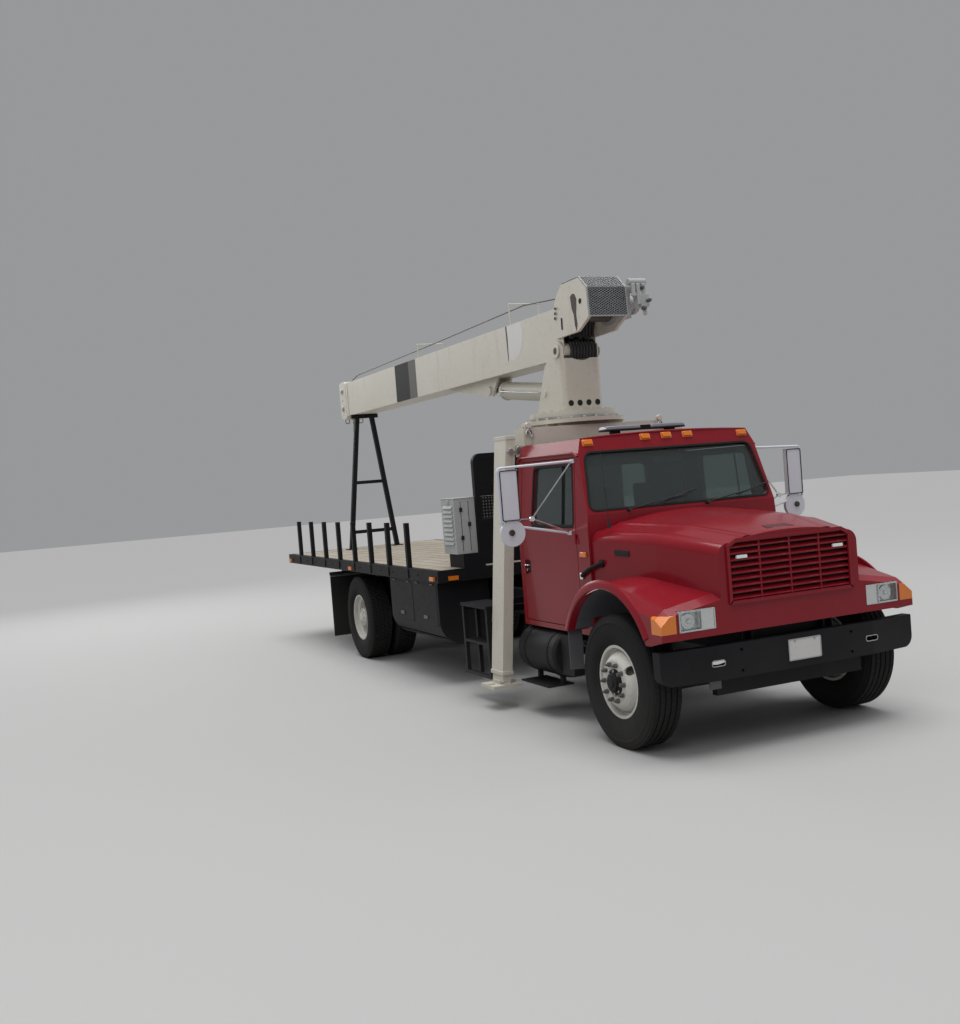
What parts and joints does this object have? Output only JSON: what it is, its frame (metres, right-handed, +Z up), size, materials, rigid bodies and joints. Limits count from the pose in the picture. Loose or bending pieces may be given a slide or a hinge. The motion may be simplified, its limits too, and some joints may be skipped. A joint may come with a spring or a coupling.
{
  "type": "crane truck",
  "caption": "Conventional-cab flatbed truck with a telescopic boom crane on a pedestal behind the cab, swing-out outrigger legs, steering, doors and tilting hood.",
  "frame": {"origin": "on the ground, halfway between the bumper's face and the tip of the stowed boom, on the truck's centre plane", "axes": "+X forward, +Y to the driver's left, +Z up"},
  "size_m": [10.34, 3.196, 4.0179],
  "materials": {
    "red_paint": "gloss",
    "cream_paint": "satin",
    "black_paint": "satin",
    "grey_paint": "satin",
    "white_steel": "satin",
    "bare_steel": "satin",
    "chrome_rod": "polished",
    "engine_metal": "matte",
    "tank_metal": "satin",
    "tyre": "matte",
    "rubber": "matte",
    "deck_wood": "matte",
    "window_glass": "gloss",
    "clear_lens": "gloss",
    "amber_lens": "gloss",
    "red_lens": "gloss",
    "mirror_shell": "gloss",
    "trim_plastic": "matte",
    "seat_cloth": "matte"
  },
  "bodies": {
    "chassis": {"chassis_frame": "black_paint", "front_bumper": "black_paint", "front_axle": "black_paint", "rear_axle": "black_paint", "engine": "engine_metal", "radiator": "engine_metal", "propshaft": "black_paint", "cab_shell": "red_paint", "cab_glass": "window_glass", "seats": "seat_cloth", "dashboard": "trim_plastic", "roof_lamps": "amber_lens", "fuel_tank": "tank_metal", "battery_box": "black_paint", "bed_frame": "black_paint", "stakes": "black_paint", "deck_planks": "deck_wood", "headboard": "black_paint", "cabinet": "grey_paint", "toolboxes": "black_paint", "operator_steps": "black_paint", "mudflaps": "rubber", "side_lamps": "amber_lens", "tail_lamps": "red_lens", "boom_rest": "black_paint", "crane_base": "cream_paint"},
    "hood": {"hood": "red_paint", "grille": "red_paint", "headlamps": "clear_lens", "turn_lamps": "amber_lens"},
    "door_left": {"door_left": "red_paint", "door_glass_left": "window_glass", "mirror_left": "mirror_shell"},
    "door_right": {"door_right": "red_paint", "door_glass_right": "window_glass", "mirror_right": "mirror_shell"},
    "steer_left": {"knuckle_left": "black_paint"},
    "steer_right": {"knuckle_right": "black_paint"},
    "tie_rod": {"tie_rod": "black_paint"},
    "front_wheel_left": {"tyre_front_left": "tyre", "wheel_front_left": "white_steel"},
    "front_wheel_right": {"tyre_front_right": "tyre", "wheel_front_right": "white_steel"},
    "rear_wheels_left": {"tyres_rear_left": "tyre", "wheels_rear_left": "white_steel"},
    "rear_wheels_right": {"tyres_rear_right": "tyre", "wheels_rear_right": "white_steel"},
    "turret": {"turret_column": "cream_paint"},
    "boom": {"boom_base": "cream_paint", "winch": "grey_paint", "winch_guard": "bare_steel"},
    "mid_section": {"boom_mid": "cream_paint"},
    "tip_section": {"boom_tip": "cream_paint", "hook": "bare_steel"},
    "barrel": {"lift_barrel": "cream_paint"},
    "rod": {"lift_rod": "chrome_rod"},
    "leg_left": {"leg_left": "cream_paint"},
    "leg_right": {"leg_right": "cream_paint"},
    "jack_left": {"jack_left": "cream_paint"},
    "jack_right": {"jack_right": "cream_paint"}
  },
  "joints": [
    {"name": "hood_tilt", "type": "hinge", "parent": "chassis", "child": "hood", "pos_m": [5.09, 0, 0.915], "axis": [0, 1, 0], "range_deg": [0, 75]},
    {"name": "door_left_swing", "type": "hinge", "parent": "chassis", "child": "door_left", "pos_m": [3.604, 0.98, 1.3], "axis": [0, 0, -1], "range_deg": [0, 65]},
    {"name": "door_right_swing", "type": "hinge", "parent": "chassis", "child": "door_right", "pos_m": [3.604, -0.98, 1.3], "axis": [0, 0, 1], "range_deg": [0, 65]},
    {"name": "steer_left", "type": "hinge", "parent": "chassis", "child": "steer_left", "pos_m": [4.43, 0.9, 0.52], "axis": [0, 0, 1], "range_deg": [-32, 32]},
    {"name": "steer_right", "type": "hinge", "parent": "chassis", "child": "steer_right", "pos_m": [4.43, -0.9, 0.52], "axis": [0, 0, 1], "range_deg": [-32, 32]},
    {"name": "tie_rod_slide", "type": "slide", "parent": "chassis", "child": "tie_rod", "axis": [0, 1, 0], "range_m": [-0.102, 0.102]},
    {"name": "front_wheel_left_spin", "type": "hinge", "parent": "steer_left", "child": "front_wheel_left", "pos_m": [4.43, 1.035, 0.52], "axis": [0, 1, 0], "continuous": true},
    {"name": "front_wheel_right_spin", "type": "hinge", "parent": "steer_right", "child": "front_wheel_right", "pos_m": [4.43, -1.035, 0.52], "axis": [0, 1, 0], "continuous": true},
    {"name": "rear_wheels_left_spin", "type": "hinge", "parent": "chassis", "child": "rear_wheels_left", "pos_m": [-1.87, 0.8925, 0.52], "axis": [0, 1, 0], "continuous": true},
    {"name": "rear_wheels_right_spin", "type": "hinge", "parent": "chassis", "child": "rear_wheels_right", "pos_m": [-1.87, -0.8925, 0.52], "axis": [0, 1, 0], "continuous": true},
    {"name": "crane_swing", "type": "hinge", "parent": "chassis", "child": "turret", "pos_m": [1.95, 0, 2.69], "axis": [0, 0, 1], "range_deg": [-180, 180]},
    {"name": "boom_lift", "type": "hinge", "parent": "turret", "child": "boom", "pos_m": [2.13, 0, 3.36], "axis": [0, 1, 0], "range_deg": [0, 75]},
    {"name": "mid_section_slide", "type": "slide", "parent": "boom", "child": "mid_section", "axis": [-1, 0, 0], "range_m": [0, 5.2]},
    {"name": "tip_section_slide", "type": "slide", "parent": "mid_section", "child": "tip_section", "axis": [-1, 0, 0], "range_m": [0, 5.2]},
    {"name": "lift_barrel_swing", "type": "hinge", "parent": "turret", "child": "barrel", "pos_m": [1.81, 0, 2.98], "axis": [0, 1, 0], "range_deg": [0, 74.09]},
    {"name": "lift_rod_slide", "type": "slide", "parent": "barrel", "child": "rod", "axis": [-0.9934, 0, 0.1146], "range_m": [0, 0.6058]},
    {"name": "leg_left_swing", "type": "hinge", "parent": "chassis", "child": "leg_left", "pos_m": [2.289, 0.84, 2.415], "axis": [1, 0, 0], "range_deg": [0, 25]},
    {"name": "leg_right_swing", "type": "hinge", "parent": "chassis", "child": "leg_right", "pos_m": [2.289, -0.84, 2.415], "axis": [-1, 0, 0], "range_deg": [0, 25]},
    {"name": "jack_left_slide", "type": "slide", "parent": "leg_left", "child": "jack_left", "axis": [0, 0.0976, -0.9952], "range_m": [0, 0.6]},
    {"name": "jack_right_slide", "type": "slide", "parent": "leg_right", "child": "jack_right", "axis": [0, -0.0976, -0.9952], "range_m": [0, 0.6]}
  ],
  "couplings": [
    {"joint": "steer_right", "follows": "steer_left", "ratio": 1},
    {"joint": "tie_rod_slide", "follows": "steer_left", "m_per_rad": -0.18},
    {"joint": "tip_section_slide", "follows": "mid_section_slide", "ratio": 1},
    {"joint": "lift_barrel_swing", "follows": "boom_lift", "ratio": 0.98524},
    {"joint": "lift_rod_slide", "follows": "boom_lift", "m_per_rad": 0.46127}
  ]
}
